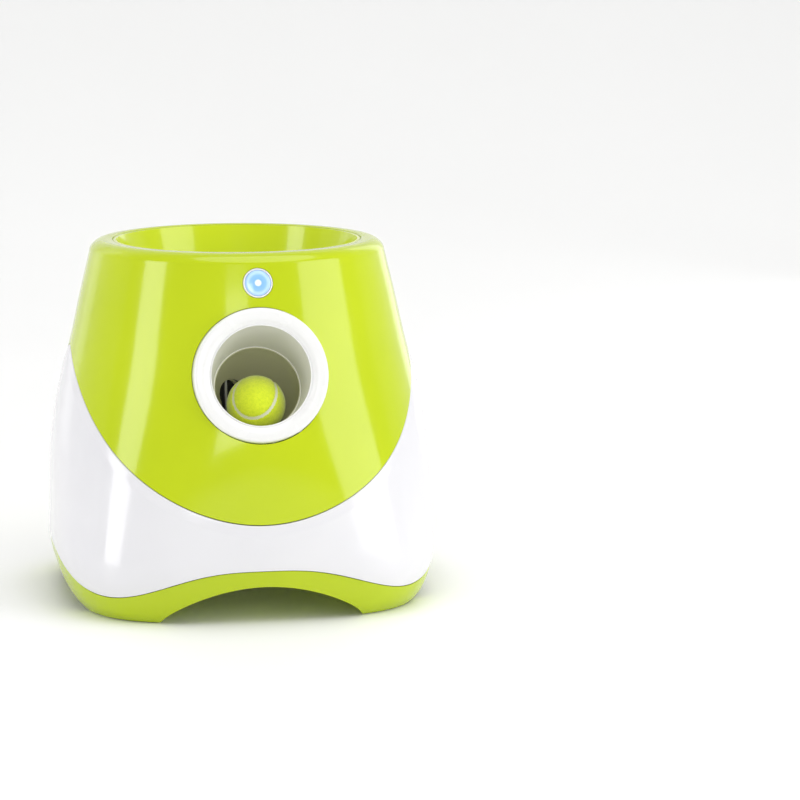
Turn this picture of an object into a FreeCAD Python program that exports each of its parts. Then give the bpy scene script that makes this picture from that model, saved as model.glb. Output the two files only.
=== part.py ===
import FreeCAD, Part
import math
import os

# Automatic dog ball launcher: a rounded housing that turns from a round-cornered square
# at the feet to a circle at the rim, with a hopper on top, a tilted muzzle in front and
# a spring striker, drawn back by a part-toothed gear, behind the muzzle.
# Millimetres, +Z up, the muzzle looks along -Y, the origin is on the floor at the middle.

Vector = FreeCAD.Vector
doc = FreeCAD.newDocument("BallLauncher")
sheet = doc.addObject("Spreadsheet::Sheet", "Sizes")

SIZES = [
    ("body_height", 292.4), ("foot_half", 139.5), ("skirt_half", 152.5), ("belly_half", 157.5),
    ("waist_half", 156.5), ("shoulder_half", 149.8), ("chest_half", 137.5), ("neck_half", 127.2),
    ("crown_half", 122.0), ("top_half", 118.8), ("skirt_level", 22.0), ("belly_level", 63.0), ("waist_level", 115.0),
    ("shoulder_level", 167.0), ("chest_level", 219.0), ("neck_level", 261.0),
    ("upper_wall", 2.4), ("lip_wall", 1.8), ("lip_reach", 6.0), ("slip_gap", 0.2), ("seam_gap", 0.5),
    ("rim_round", 13.0), ("rim_lean", 18.8), ("opening_radius", 102.5),
    ("wave_low", 80.8), ("wave_rise", 126.0), ("wave_softness", 0.1),
    ("band_level", 43.7), ("band_drop", 23.2), ("floor_level", 34.0), ("floor_wall", 3.0),
    ("arch_half", 82.0), ("arch_rise", 31.0), ("leg_pocket_floor", 6.0), ("leg_pocket_half", 87.0),
    ("foot_proud", 0.8), ("foot_radius", 11.0), ("foot_depth", 3.0), ("foot_place", 99.0),
    ("bowl_gap", 0.5), ("bowl_wall", 2.4), ("bowl_lip", 2.4), ("bowl_waist_radius", 88.0),
    ("bowl_waist_level", 245.0), ("bowl_floor_level", 216.0), ("bowl_flange", 5.5),
    ("hole_x", -47.0), ("hole_y", -38.0), ("hole_radius", 26.5),
    ("muzzle_y", -143.0), ("muzzle_z", 198.9), ("muzzle_lean", 9.5), ("barrel_lean", 28.0),
    ("bezel_radius", 53.8), ("bezel_gap", 0.4), ("bezel_depth", 19.0), ("bezel_wall", 2.6),
    ("mouth_radius", 39.0), ("cup_radius", 35.0), ("cup_wall", 2.4), ("cup_set_back", 39.0),
    ("cup_lip", 9.0), ("ball_diameter", 48.0), ("ball_gap", 0.3),
    ("window_radius", 8.0), ("window_depth", 1.6),
    ("striker_radius", 11.5), ("striker_gap", 0.9), ("pad_depth", 3.0), ("head_depth", 10.0),
    ("rod_radius", 6.0), ("rod_gap", 0.3), ("rod_end", 204.0), ("guide_radius", 16.0),
    ("guide_end", 125.0), ("guide_cap", 7.0), ("striker_rest", 25.5),
    ("tooth_size", 2.0), ("sector_teeth", 24.0), ("sector_width", 8.0), ("gear_at", 188.0),
    ("rack_rise", 12.0), ("rack_start", 127.5), ("rack_end", 192.0), ("rack_width", 7.0),
    ("wheel_tooth_size", 1.5), ("wheel_teeth", 56.0), ("pinion_teeth", 16.0), ("wheel_width", 6.0),
    ("pinion_turn", 131.0), ("tooth_backlash", 0.35), ("shaft_radius", 3.0), ("shaft_gap", 0.05),
    ("frame_half", 17.0), ("plate_wall", 2.0), ("motor_radius", 18.0), ("motor_length", 52.0),
    ("spring_radius", 9.0), ("spring_wire", 1.4), ("spring_turns", 13.0),
    ("button_y", -124.0), ("button_z", 270.0), ("button_lean", 14.0), ("button_radius", 10.3),
    ("button_ring", 11.8), ("button_gap", 0.3),
    ("cell_radius", 13.0), ("cell_length", 50.0), ("cell_gap", 0.6), ("box_wall", 2.0),
    ("box_y", -64.0), ("door_gap", 0.4), ("board_wall", 1.6), ("jack_radius", 5.5), ("jack_level", 66.0),
    ("roller_radius", 6.0), ("roller_shaft_radius", 2.5), ("shaft_proud", 1.0), ("spacer_radius", 4.0),
    ("board_stand", 6.0), ("board_edge", 5.0), ("board_length", 84.0), ("board_height", 58.0), ("board_level", 88.0),
    ("screw_radius", 1.6), ("screw_head", 3.2), ("boss_radius", 4.5), ("boss_x", 46.0), ("boss_y", 143.0),
]
for row, (name, number) in enumerate(SIZES, start=1):
    sheet.set("A%d" % row, name)
    sheet.set("B%d" % row, str(number))
    sheet.setAlias("B%d" % row, name)
doc.recompute()


def size(name):
    return float(sheet.get(name))


def part(label, shape):
    item = doc.addObject("Part::Feature", label)
    item.Label = label
    item.Shape = shape
    return item


def bound(kind, label, base, formulas, turn=FreeCAD.Rotation()):
    """A primitive whose sizes stay formulas of the sheet."""
    item = doc.addObject(kind, label)
    item.Label = label
    item.Placement = FreeCAD.Placement(base, turn)
    for name, formula in formulas.items():
        item.setExpression(name, formula)
    return item


H = size("body_height")
WALL = size("upper_wall")
SLIP = size("slip_gap")
LIP = size("lip_wall")
REACH = 400.0

# The section at each level: half width, and the exponent of its rounded square (2 is a circle).
LEVELS = [
    (0.0, size("foot_half"), 3.4),
    (size("skirt_level"), size("skirt_half"), 3.2),
    (size("belly_level"), size("belly_half"), 2.8),
    (size("waist_level"), size("waist_half"), 2.35),
    (size("shoulder_level"), size("shoulder_half"), 2.08),
    (size("chest_level"), size("chest_half"), 2.0),
    (size("neck_level"), size("neck_half"), 2.0),
    (H + 3, size("top_half"), 2.0),
]
RIM_LEAN = math.radians(size("rim_lean"))


def section(level, half, exponent, count=32):
    points = []
    for step in range(count):
        turn = 2 * math.pi * step / count
        c = math.cos(turn)
        s = math.sin(turn)
        reach = half / (abs(c) ** exponent + abs(s) ** exponent) ** (1 / exponent)
        points.append(Vector(reach * c, reach * s, level))
    curve = Part.BSplineCurve()
    curve.interpolate(points, PeriodicFlag=True)
    return Part.Wire(curve.toShape())


def crown(inset):
    """A turned solid that rounds off the rim; its cone stays outside the housing lower down."""
    radius = size("rim_round") - inset
    middle = Vector(size("crown_half") - size("rim_round") * math.cos(RIM_LEAN), 0, H - size("rim_round"))
    across = Vector(math.cos(RIM_LEAN), 0, math.sin(RIM_LEAN))
    halfway = Vector(math.cos(RIM_LEAN / 2 + math.pi / 4), 0, math.sin(RIM_LEAN / 2 + math.pi / 4))
    start = middle + across * radius
    top = middle + Vector(0, 0, radius)
    low = Vector(start.x + (start.z + 10) * math.tan(RIM_LEAN), 0, -10)
    arc = Part.Arc(start, middle + halfway * radius, top).toShape()
    sides = Part.makePolygon([top, Vector(0, 0, top.z), Vector(0, 0, -10), low, start])
    face = Part.Face(Part.Wire([arc] + sides.Edges))
    return face.revolve(Vector(0, 0, 0), Vector(0, 0, 1), 360)


def body_solid(inset):
    """The housing's outer form, drawn in by inset on its sides and top."""
    loft = Part.makeLoft([section(level, half - inset, exponent) for level, half, exponent in LEVELS], True, False)
    return loft.common(crown(inset))


def wave(turn):
    """Height of the parting of the upper and lower shell; turn is measured from the front."""
    soft = size("wave_softness")
    c = (math.hypot(math.cos(turn), soft) - soft) / (math.hypot(1, soft) - soft)
    return size("wave_low") + size("wave_rise") * ((1 - c) + math.sin(turn) ** 2) / 2


def band(turn):
    """Height of the parting of the lower shell and the base: low at the four legs."""
    dip = ((1 - math.cos(4 * turn)) / 2) ** 1.7
    return size("band_level") - size("band_drop") * dip


def parting(height, shift, inner, outer, depth):
    """A ring-shaped solid that starts at the parting line, raised by shift, and runs up
    by depth, or down if depth is negative."""
    edges = []
    for radius in (inner, outer):
        points = []
        for step in range(64):
            turn = 2 * math.pi * step / 64
            x = radius * math.sin(turn)
            y = -radius * math.cos(turn)
            points.append(Vector(x, y, height(turn) + shift))
        curve = Part.BSplineCurve()
        curve.interpolate(points, PeriodicFlag=True)
        edges.append(curve.toShape())
    return Part.makeRuledSurface(edges[0], edges[1]).extrude(Vector(0, 0, depth))


def slab(low, high):
    return Part.makeBox(2 * REACH, 2 * REACH, high - low, Vector(-REACH, -REACH, low))


def cylinder(radius, length, start, along):
    return Part.makeCylinder(radius, length, start, along)


OUTER = body_solid(0.0)
INNER = body_solid(WALL)
LIP_OUTER = body_solid(WALL + SLIP)
LIP_INNER = body_solid(WALL + LIP)
LIP_OUTER_HALF = body_solid(WALL / 2)

# Muzzle frame: the bezel leans back less than the barrel behind it.
LEAN = math.radians(size("muzzle_lean"))
TILT = math.radians(size("barrel_lean"))
MOUTH = Vector(0, size("muzzle_y"), size("muzzle_z"))
FACE = Vector(0, -math.cos(LEAN), math.sin(LEAN))
OUT = Vector(0, -math.cos(TILT), math.sin(TILT))
BACK = OUT * -1
UP = Vector(0, math.sin(TILT), math.cos(TILT))
CUP = MOUTH - OUT * size("cup_set_back")
BALL_R = size("ball_diameter") / 2
BALL = CUP - Vector(0, 0, size("cup_radius") - BALL_R - size("ball_gap"))


def along(distance, rise=0.0, side=0.0):
    """A point on the striker's line: behind the ball's middle, raised and moved sideways."""
    return BALL + BACK * distance + UP * rise + Vector(side, 0, 0)


BUTTON_TILT = math.radians(size("button_lean"))
BUTTON = Vector(0, size("button_y"), size("button_z"))
BUTTON_OUT = Vector(0, -math.cos(BUTTON_TILT), math.sin(BUTTON_TILT))


def spun(profile, origin, axis):
    """A solid turned about axis from a profile of (radius, distance along the axis)."""
    points = [Vector(radius, 0, distance) for radius, distance in profile]
    face = Part.Face(Part.makePolygon(points + points[:1]))
    solid = face.revolve(Vector(0, 0, 0), Vector(0, 0, 1), 360)
    solid.Placement = FreeCAD.Placement(origin, FreeCAD.Rotation(Vector(0, 0, 1), axis))
    return solid


def chute_space(grow):
    """The ball's way from the hopper's hole down to the side of the cup."""
    hole = size("hole_radius")
    x = size("hole_x")
    back = size("hole_y") + hole + grow
    front = size("hole_y") - hole - grow
    floor = BALL.z - BALL_R - 1.0 - grow
    end = CUP.y - 6.0 - grow
    roof = floor + 2 * hole + 2 * grow
    top = size("bowl_floor_level") - size("bowl_wall")
    if grow == 0.0:
        top = top + 1.0
    slope = 9.0
    corners = [(end, floor), (back, floor + slope), (back, top), (front, top), (front, roof), (end, roof)]
    points = [Vector(x - hole + 0.6 - grow, y, z) for y, z in corners]
    face = Part.Face(Part.makePolygon(points + points[:1]))
    return face.extrude(Vector(2 * hole - 1.2 + 2 * grow, 0, 0))


CHUTE_WALL = 2.0
BOARD_DEPTH = 16.0
BOARD_POST = 15.0


def upper_shell():
    shell = OUTER.cut(INNER)
    shell = shell.cut(parting(wave, size("seam_gap"), 60.0, 230.0, -REACH))
    shell = shell.cut(cylinder(size("opening_radius"), 40.0, Vector(0, 0, H - 20), Vector(0, 0, 1)))
    hole = size("bezel_radius") + size("bezel_gap")
    shell = shell.cut(cylinder(hole, 60.0, MOUTH - FACE * 40, FACE))
    posts = []
    for side in (-1, 1):
        foot = BUTTON - BUTTON_OUT * BOARD_DEPTH + Vector(side * BOARD_POST, 0, 0)
        posts.append(cylinder(2.0, BOARD_DEPTH, foot, BUTTON_OUT))
    shell = shell.fuse([post.common(LIP_OUTER_HALF) for post in posts])
    shell = shell.cut(cylinder(size("button_ring") + size("button_gap"), 20.0, BUTTON - BUTTON_OUT * 9, BUTTON_OUT))
    return shell


def corner_boxes(half, low, high):
    boxes = []
    for x_side in (-1, 1):
        for y_side in (-1, 1):
            box = Part.makeBox(150.0, 150.0, high - low)
            box.translate(Vector(half if x_side > 0 else -half - 150.0, half if y_side > 0 else -half - 150.0, low))
            boxes.append(box)
    return Part.makeCompound(boxes)


def boss_places():
    return [(sx * size("boss_x"), sy * size("boss_y")) for sx in (-1, 1) for sy in (-1, 1)]


def lower_shell():
    reach = size("lip_reach")
    top = size("wave_low") + size("wave_rise") + reach + 1
    skin = OUTER.common(slab(5, top))
    skin = skin.cut(parting(wave, 0.0, 60.0, 230.0, REACH))
    skin = skin.cut(parting(band, size("seam_gap"), 60.0, 230.0, -REACH))
    lip = LIP_OUTER.common(slab(5, top))
    lip = lip.cut(parting(wave, reach, 60.0, 230.0, REACH))
    low = slab(size("floor_level") + SLIP, top)
    corners = corner_boxes(size("leg_pocket_half") + 1.0, 5, top)
    lip = lip.common(low.fuse(corners)).cut(parting(band, -5.0, 60.0, 230.0, -REACH))
    shell = skin.fuse(lip).cut(LIP_INNER)
    bosses = []
    for x, y in boss_places():
        boss = cylinder(size("boss_radius"), 34.0, Vector(x, y, size("floor_level") + SLIP), Vector(0, 0, 1))
        web = Part.makeBox(3.0, 14.0, 34.0, Vector(x - 1.5, y - 2 if y > 0 else y - 12, size("floor_level") + SLIP))
        bosses.append(boss.fuse(web).common(LIP_OUTER))
    shell = shell.fuse(bosses)
    for x, y in boss_places():
        pilot = size("screw_radius") + size("shaft_gap")
        shell = shell.cut(cylinder(pilot, 20.0, Vector(x, y, size("floor_level")), Vector(0, 0, 1)))
    jack = Vector(0, 100, size("jack_level"))
    return shell.cut(cylinder(size("jack_radius") + 0.2, 80.0, jack, Vector(0, 1, 0)))


def arch_face():
    """The opening between two legs, seen from the front."""
    half = size("arch_half")
    rise = size("arch_rise")
    points = []
    for step in range(25):
        x = -half + 2 * half * step / 24
        height = rise * max(math.cos(math.pi / 2 * x / half), 0.0) ** 0.65
        points.append(Vector(x, -REACH, height))
    curve = Part.BSplineCurve()
    curve.interpolate(points)
    corners = [points[-1], Vector(half, -REACH, -5), Vector(-half, -REACH, -5), points[0]]
    wire = Part.Wire([curve.toShape()] + Part.makePolygon(corners).Edges)
    return Part.Face(wire)


def battery_box_half():
    return 1.5 * size("cell_length") + 4.0, 2 * size("cell_radius") + size("cell_gap") + 1.0


def foot_places():
    place = size("foot_place")
    return [(sx * place, sy * place) for sx in (-1, 1) for sy in (-1, 1)]


def base_tray():
    floor = size("floor_level")
    rim = OUTER.common(slab(size("foot_proud"), 60)).cut(parting(band, 0.0, 100.0, 230.0, REACH))
    pan = body_solid(WALL + LIP + SLIP).common(slab(size("foot_proud"), floor))
    tray = rim.fuse(pan).cut(INNER.common(slab(floor, 200)))
    pockets = INNER.common(corner_boxes(size("leg_pocket_half"), size("leg_pocket_floor"), floor + 1))
    tray = tray.cut(pockets)
    underside = INNER.common(slab(-1, floor - size("floor_wall"))).cut(corner_boxes(size("arch_half"), -2, floor + 1))
    tray = tray.cut(underside)
    arch = arch_face().extrude(Vector(0, 2 * REACH, 0))
    tray = tray.cut(arch)
    tray = tray.cut(arch.copy().rotate(Vector(0, 0, 0), Vector(0, 0, 1), 90))
    half_x, half_y = battery_box_half()
    tray = tray.cut(Part.makeBox(2 * half_x, 2 * half_y, 30, Vector(-half_x, size("box_y") - half_y, 20)))
    for x, y in foot_places():
        tray = tray.cut(cylinder(size("foot_radius"), size("foot_depth"), Vector(x, y, 0), Vector(0, 0, 1)))
    for x, y in boss_places():
        tray = tray.cut(cylinder(size("screw_radius") + 0.2, 30, Vector(x, y, 20), Vector(0, 0, 1)))
    return tray


def circle_wire(radius, centre, normal=Vector(0, 0, 1)):
    return Part.Wire(Part.makeCircle(radius, centre, normal))


def hopper_bowl():
    wall = size("bowl_wall")
    top_radius = size("opening_radius") - size("bowl_gap")
    top = H - 0.6
    waist = size("bowl_waist_level")
    hole = Vector(size("hole_x"), size("hole_y"), size("bowl_floor_level"))
    out_top = circle_wire(top_radius, Vector(0, 0, top))
    out_waist = circle_wire(size("bowl_waist_radius") + wall, Vector(0, 0, waist))
    out_hole = circle_wire(size("hole_radius") + wall, hole)
    in_top = circle_wire(top_radius - size("bowl_lip"), Vector(0, 0, top))
    in_waist = circle_wire(size("bowl_waist_radius"), Vector(0, 0, waist + wall))
    in_hole = circle_wire(size("hole_radius"), hole + Vector(0, 0, wall))
    outside = Part.makeLoft([out_waist, out_top], True, True).fuse(Part.makeLoft([out_hole, out_waist], True, True))
    inside = Part.makeLoft([in_waist, in_top], True, True).fuse(Part.makeLoft([in_hole, in_waist], True, True))
    spout = cylinder(size("hole_radius"), 20, hole - Vector(0, 0, 10), Vector(0, 0, 1))
    spout_wall = cylinder(size("hole_radius") + wall, wall, hole - Vector(0, 0, wall), Vector(0, 0, 1))
    flange_top = H - WALL
    flange = cylinder(top_radius + size("bowl_flange"), wall, Vector(0, 0, flange_top - wall), Vector(0, 0, 1))
    return outside.fuse([flange, spout_wall]).cut(inside).cut(spout)


def muzzle_ring():
    radius = size("bezel_radius")
    depth = size("bezel_depth")
    wall = size("bezel_wall")
    mouth = size("mouth_radius")
    lip = [(mouth, -1.6), (mouth + 1.0, -0.9), (mouth + 6.5, 0.4), (radius - 4.0, 0.0), (radius - 1.2, -1.4),
           (radius, -4.2), (radius, -depth), (radius - wall, -depth), (radius - wall, -7.0),
           (mouth + wall + 1, -6.0), (mouth + 0.6, -6.0)]
    bezel = spun(lip, MOUTH, FACE)
    collar = spun([(radius - 0.5, -depth), (radius + 4, -depth), (radius + 4, 0), (radius - 0.5, 0)], MOUTH, FACE)
    collar = collar.common(INNER)
    seam = CUP + OUT * size("cup_lip")
    seam_radius = size("cup_radius")
    inside = Part.makeLoft([circle_wire(mouth + 0.3, MOUTH + FACE * 1.2, FACE), circle_wire(seam_radius, seam, OUT)],
                           True, True)
    outside = Part.makeLoft([circle_wire(mouth + wall, MOUTH - FACE * 1.8, FACE),
                             circle_wire(seam_radius + wall, seam, OUT)], True, True)
    return bezel.fuse([collar, outside]).cut(inside)


def barrel_cup():
    radius = size("cup_radius")
    wall = size("cup_wall")
    ball = Part.makeSphere(radius + wall, CUP)
    seam = CUP + OUT * size("cup_lip")
    front = cylinder(80, 80, seam, OUT)
    cup = ball.cut(front)
    flange = cylinder(radius + 6, 2.0, seam - OUT * 2.0, OUT)
    cup = cup.fuse(flange).cut(Part.makeSphere(radius, CUP))
    cup = cup.cut(cylinder(radius, 10, seam - OUT * 2.5, OUT))
    cup = cup.cut(chute_space(0.0))
    cup = cup.cut(cylinder(size("striker_radius") + size("striker_gap"), 60, BALL, BACK))
    return cup.cut(window_space(SLIP))


WINDOW = Vector(19, 28, 3).normalize()


def window_space(grow):
    return cylinder(size("window_radius") + grow, 20, CUP + WINDOW * 25, WINDOW)


def sensor_window():
    radius = size("cup_radius")
    disc = window_space(0.0).common(Part.makeSphere(radius + size("window_depth"), CUP))
    return disc.cut(Part.makeSphere(radius + 0.1, CUP))


def feed_chute():
    chute = chute_space(CHUTE_WALL).cut(chute_space(0.0))
    chute = chute.cut(Part.makeSphere(size("cup_radius") + size("cup_wall") + 0.1, CUP))
    seam = CUP + OUT * size("cup_lip")
    return chute.cut(cylinder(size("cup_radius") + 6.3, 80.0, seam - OUT * 2.3, OUT))


def striker_guide():
    radius = size("guide_radius")
    end = size("guide_end")
    guide = cylinder(radius, end - 26, along(26), BACK)
    for start in (46, 100):
        rotation = FreeCAD.Rotation(Vector(1, 0, 0), BACK, UP, "XYZ")
        block = Part.makeBox(2 * size("frame_half"), 16, 16, Vector(-size("frame_half"), 0, -8))
        block.Placement = FreeCAD.Placement(along(start), rotation)
        guide = guide.fuse(block)
    bore = size("striker_radius") + size("striker_gap")
    guide = guide.cut(cylinder(bore, end - size("guide_cap") - 20, along(20), BACK))
    guide = guide.cut(cylinder(size("rod_radius") + size("rod_gap"), 40, along(end - 20), BACK))
    return guide.cut(Part.makeSphere(size("cup_radius") + size("cup_wall") + 0.1, CUP))


def striker_rod():
    start = size("striker_rest") + size("pad_depth")
    head = cylinder(size("striker_radius"), size("head_depth"), along(start), BACK)
    rod = cylinder(size("rod_radius"), size("rod_end") - start, along(start), BACK)
    return head.fuse([rod, rack()]).removeSplitter()


def rack():
    """Straight-sided teeth on a bar along the rod; a gap sits under the gear's middle."""
    module = size("tooth_size")
    pitch = math.pi * module
    rise = size("rack_rise")
    root = rise - 1.25 * module
    tip = rise + module
    slant = math.tan(math.radians(20))
    half = pitch / 4 - size("tooth_backlash") / 2
    outline = [(size("rack_start"), 2.0), (size("rack_start"), root)]
    first = math.ceil((size("rack_start") - size("gear_at")) / pitch + 0.5)
    last = math.floor((size("rack_end") - size("gear_at")) / pitch - 0.5)
    for tooth in range(first, last + 1):
        middle = size("gear_at") + (tooth + 0.5) * pitch
        if middle + pitch / 2 > size("rack_end"):
            continue
        outline.append((middle - half - 1.25 * module * slant, root))
        outline.append((middle - half + module * slant, tip))
        outline.append((middle + half - module * slant, tip))
        outline.append((middle + half + 1.25 * module * slant, root))
    outline.append((size("rack_end"), root))
    outline.append((size("rack_end"), 2.0))
    side = -size("rack_width") / 2
    points = [along(distance, height, side) for distance, height in outline]
    face = Part.Face(Part.makePolygon(points + points[:1]))
    return face.extrude(Vector(size("rack_width"), 0, 0))


def striker_pad():
    return cylinder(size("striker_radius"), size("pad_depth"), along(size("striker_rest")), BACK)


def coil(radius, wire, turns, length, start, axis):
    helix = Part.makeHelix(length / turns, length, radius)
    profile = Part.Wire(Part.makeCircle(wire / 2, Vector(radius, 0, 0), Vector(0, 1, 0)))
    tube = Part.Wire(helix).makePipeShell([profile], True, True)
    tube.Placement = FreeCAD.Placement(start, FreeCAD.Rotation(Vector(0, 0, 1), axis))
    return tube


def striker_spring():
    start = size("striker_rest") + size("pad_depth") + size("head_depth")
    end = size("guide_end") - size("guide_cap")
    room = size("spring_wire") / 2 + 0.1
    return coil(size("spring_radius"), size("spring_wire"), size("spring_turns"),
                end - start - 2 * room, along(start + room), BACK)


def involute_point(base, roll):
    return (base * math.sqrt(1 + roll * roll), roll - math.atan(roll))


def gear_outline(module, teeth, present):
    """Closed outline of a gear about the origin, a tooth at angle 0; absent teeth leave
    the root circle bare."""
    pitch_radius = module * teeth / 2
    base = pitch_radius * math.cos(math.radians(20))
    tip = pitch_radius + module
    root = pitch_radius - 1.25 * module
    spread = math.tan(math.radians(20)) - math.radians(20)
    half = math.pi / 2 / teeth - size("tooth_backlash") / 2 / pitch_radius
    tip_roll = math.sqrt((tip / base) ** 2 - 1)
    start_roll = math.sqrt(max((max(root, base) / base) ** 2 - 1, 0.0))
    flank = []
    for step in range(4):
        roll = start_roll + (tip_roll - start_roll) * step / 3
        radius, angle = involute_point(base, roll)
        flank.append((radius, half + spread - angle))
    points = []
    for tooth in range(teeth):
        middle = 2 * math.pi * tooth / teeth
        if tooth not in present:
            points.append((root, middle))
            continue
        points.append((root, middle - flank[0][1]))
        points += [(radius, middle - angle) for radius, angle in flank]
        points += [(radius, middle + angle) for radius, angle in reversed(flank)]
        points.append((root, middle + flank[0][1]))
    return points


def gear(module, teeth, width, centre, side, turn, bore, present=None):
    """A gear in the YZ plane; its angle 0 points at turn, measured from +Y towards +Z."""
    if present is None:
        present = range(teeth)
    points = []
    for radius, angle in gear_outline(module, teeth, present):
        points.append(Vector(side, centre.y + radius * math.cos(angle + turn), centre.z + radius * math.sin(angle + turn)))
    face = Part.Face(Part.makePolygon(points + points[:1]))
    solid = face.extrude(Vector(width, 0, 0))
    return solid.cut(cylinder(bore, width + 2, Vector(side - 1, centre.y, centre.z), Vector(1, 0, 0)))


SECTOR_R = size("tooth_size") * size("sector_teeth") / 2
SECTOR = along(size("gear_at"), size("rack_rise") + SECTOR_R)
WHEEL_R = size("wheel_tooth_size") * size("wheel_teeth") / 2
PINION_R = size("wheel_tooth_size") * size("pinion_teeth") / 2
PINION_ANGLE = math.radians(size("pinion_turn"))
PINION = SECTOR + Vector(0, math.cos(PINION_ANGLE), math.sin(PINION_ANGLE)) * (WHEEL_R + PINION_R)
DOWN_ANGLE = math.atan2(-UP.z, -UP.y)
X_AXIS = Vector(1, 0, 0)
WHEEL_SIDE = size("rod_radius") + 1.0


def sector_gear():
    teeth = int(size("sector_teeth"))
    present = [(step * -1) % teeth for step in range(-1, 11)]
    bore = size("shaft_radius") + size("shaft_gap")
    width = size("sector_width")
    sector = gear(size("tooth_size"), teeth, width, SECTOR, -width / 2, DOWN_ANGLE, bore, present)
    wheel_side = WHEEL_SIDE
    hub = cylinder(9.0, wheel_side + size("wheel_width") - width / 2, Vector(width / 2, SECTOR.y, SECTOR.z), X_AXIS)
    wheel = gear(size("wheel_tooth_size"), int(size("wheel_teeth")), size("wheel_width"), SECTOR, wheel_side,
                 PINION_ANGLE, bore)
    for step in range(5):
        angle = PINION_ANGLE + 2 * math.pi * (step + 0.5) / 5
        middle = Vector(wheel_side - 1, SECTOR.y + 25 * math.cos(angle), SECTOR.z + 25 * math.sin(angle))
        wheel = wheel.cut(cylinder(8.5, size("wheel_width") + 2, middle, X_AXIS))
    hub = hub.cut(cylinder(bore, 20, Vector(0, SECTOR.y, SECTOR.z), X_AXIS))
    return sector.fuse([wheel, hub])


def motor_pinion():
    teeth = int(size("pinion_teeth"))
    turn = PINION_ANGLE + math.pi + math.pi / teeth
    return gear(size("wheel_tooth_size"), teeth, size("wheel_width"), PINION, WHEEL_SIDE, turn,
                2.0 + size("shaft_gap"))


def gear_motor():
    plate = size("frame_half") + size("plate_wall")
    can = cylinder(size("motor_radius"), size("motor_length"), Vector(plate, PINION.y, PINION.z), X_AXIS)
    nose = cylinder(6.0, size("plate_wall"), Vector(plate - size("plate_wall"), PINION.y, PINION.z), X_AXIS)
    shaft = cylinder(2.0, plate - WHEEL_SIDE, Vector(WHEEL_SIDE, PINION.y, PINION.z), X_AXIS)
    tail = cylinder(5.0, 3.0, Vector(plate + size("motor_length"), PINION.y, PINION.z), X_AXIS)
    return can.fuse([nose, shaft, tail])


def side_plate(side):
    """A bent-up plate that stands on the base and carries guide, shafts and motor."""
    floor = size("floor_level")
    corners = [(-22, floor), (122, floor), (122, 84), (118, 150), (76, 178), (-4, 176), (-60, 164), (-74, 150),
               (-70, 116), (-36, 98), (-22, 80)]
    x = size("frame_half") if side > 0 else -size("frame_half") - size("plate_wall")
    points = [Vector(x, y, z) for y, z in corners]
    plate = Part.Face(Part.makePolygon(points + points[:1])).extrude(Vector(size("plate_wall"), 0, 0))
    foot_x = size("frame_half") if side > 0 else -size("frame_half") - 12.0
    plate = plate.fuse(Part.makeBox(12.0, 130.0, size("plate_wall"), Vector(foot_x, -16, floor)))
    bore = size("shaft_radius") + size("shaft_gap")
    plate = plate.cut(cylinder(bore, 20, Vector(x - 5, SECTOR.y, SECTOR.z), X_AXIS))
    if side > 0:
        plate = plate.cut(cylinder(6.0 + size("slip_gap"), 20, Vector(x - 5, PINION.y, PINION.z), X_AXIS))
    roller = along(size("gear_at"), -ROLLER_DROP)
    bore = size("roller_shaft_radius") + size("shaft_gap")
    plate = plate.cut(cylinder(bore, 20, Vector(x - 5, roller.y, roller.z), X_AXIS))
    for y, z, radius in ((10, 62, 16), (50, 56, 12), (-30, 128, 10)):
        plate = plate.cut(cylinder(radius, 20, Vector(x - 5, y, z), X_AXIS))
    return plate


ROLLER_R = size("roller_radius")
ROLLER_DROP = size("rod_radius") + ROLLER_R + 0.2


def shaft(label, centre, radius):
    """A round shaft that stands out past both side plates."""
    start = Vector(-size("frame_half") - size("plate_wall") - size("shaft_proud"), centre.y, centre.z)
    along_x = FreeCAD.Rotation(Vector(0, 0, 1), X_AXIS)
    length = "2 * (Sizes.frame_half + Sizes.plate_wall + Sizes.shaft_proud)"
    return bound("Part::Cylinder", label, start, {"Radius": radius, "Height": length}, along_x)


def sector_shaft():
    return shaft("sector_shaft", SECTOR, "Sizes.shaft_radius")


def roller_shaft():
    return shaft("roller_shaft", along(size("gear_at"), -ROLLER_DROP), "Sizes.roller_shaft_radius")


def support_roller():
    centre = along(size("gear_at"), -ROLLER_DROP)
    tube = cylinder(ROLLER_R, 11, Vector(-5.5, centre.y, centre.z), X_AXIS)
    bore = size("roller_shaft_radius") + size("shaft_gap")
    return tube.cut(cylinder(bore, 22, Vector(-11, centre.y, centre.z), X_AXIS))


SPACER_PLACES = [(104, 40), (-14, 46), (110, 150)]


def plate_spacers():
    """Round bars between the plates, clear of the drawn rod and of the wheel."""
    tubes = []
    half = size("frame_half")
    for y, z in SPACER_PLACES:
        tubes.append(cylinder(size("spacer_radius"), 2 * half, Vector(-half, y, z), X_AXIS))
    return Part.makeCompound(tubes)


def power_button():
    radius = size("button_radius")
    return spun([(0, -8), (radius, -8), (radius, 0.4), (radius - 1.2, 1.5), (0, 2.1)], BUTTON, BUTTON_OUT)


def button_bezel():
    inner = size("button_radius") + size("button_gap")
    outer = size("button_ring")
    return spun([(inner, -10), (outer, -10), (outer, 0.6), (outer - 0.5, 1.2), (inner, 1.2)], BUTTON, BUTTON_OUT)


def button_board():
    half = BOARD_POST + 4.0
    board = Part.makeBox(2 * half, 16, size("board_wall"), Vector(-half, -8, -BOARD_DEPTH - size("board_wall")))
    board.Placement = FreeCAD.Placement(BUTTON, FreeCAD.Rotation(Vector(0, 0, 1), BUTTON_OUT))
    return board


def button_switch():
    body = Part.makeBox(6, 6, 3.5, Vector(-3, -3, -16))
    body = body.fuse(Part.makeCylinder(1.7, 2.4, Vector(0, 0, -12.5)))
    body.Placement = FreeCAD.Placement(BUTTON, FreeCAD.Rotation(Vector(0, 0, 1), BUTTON_OUT))
    return body


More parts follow.
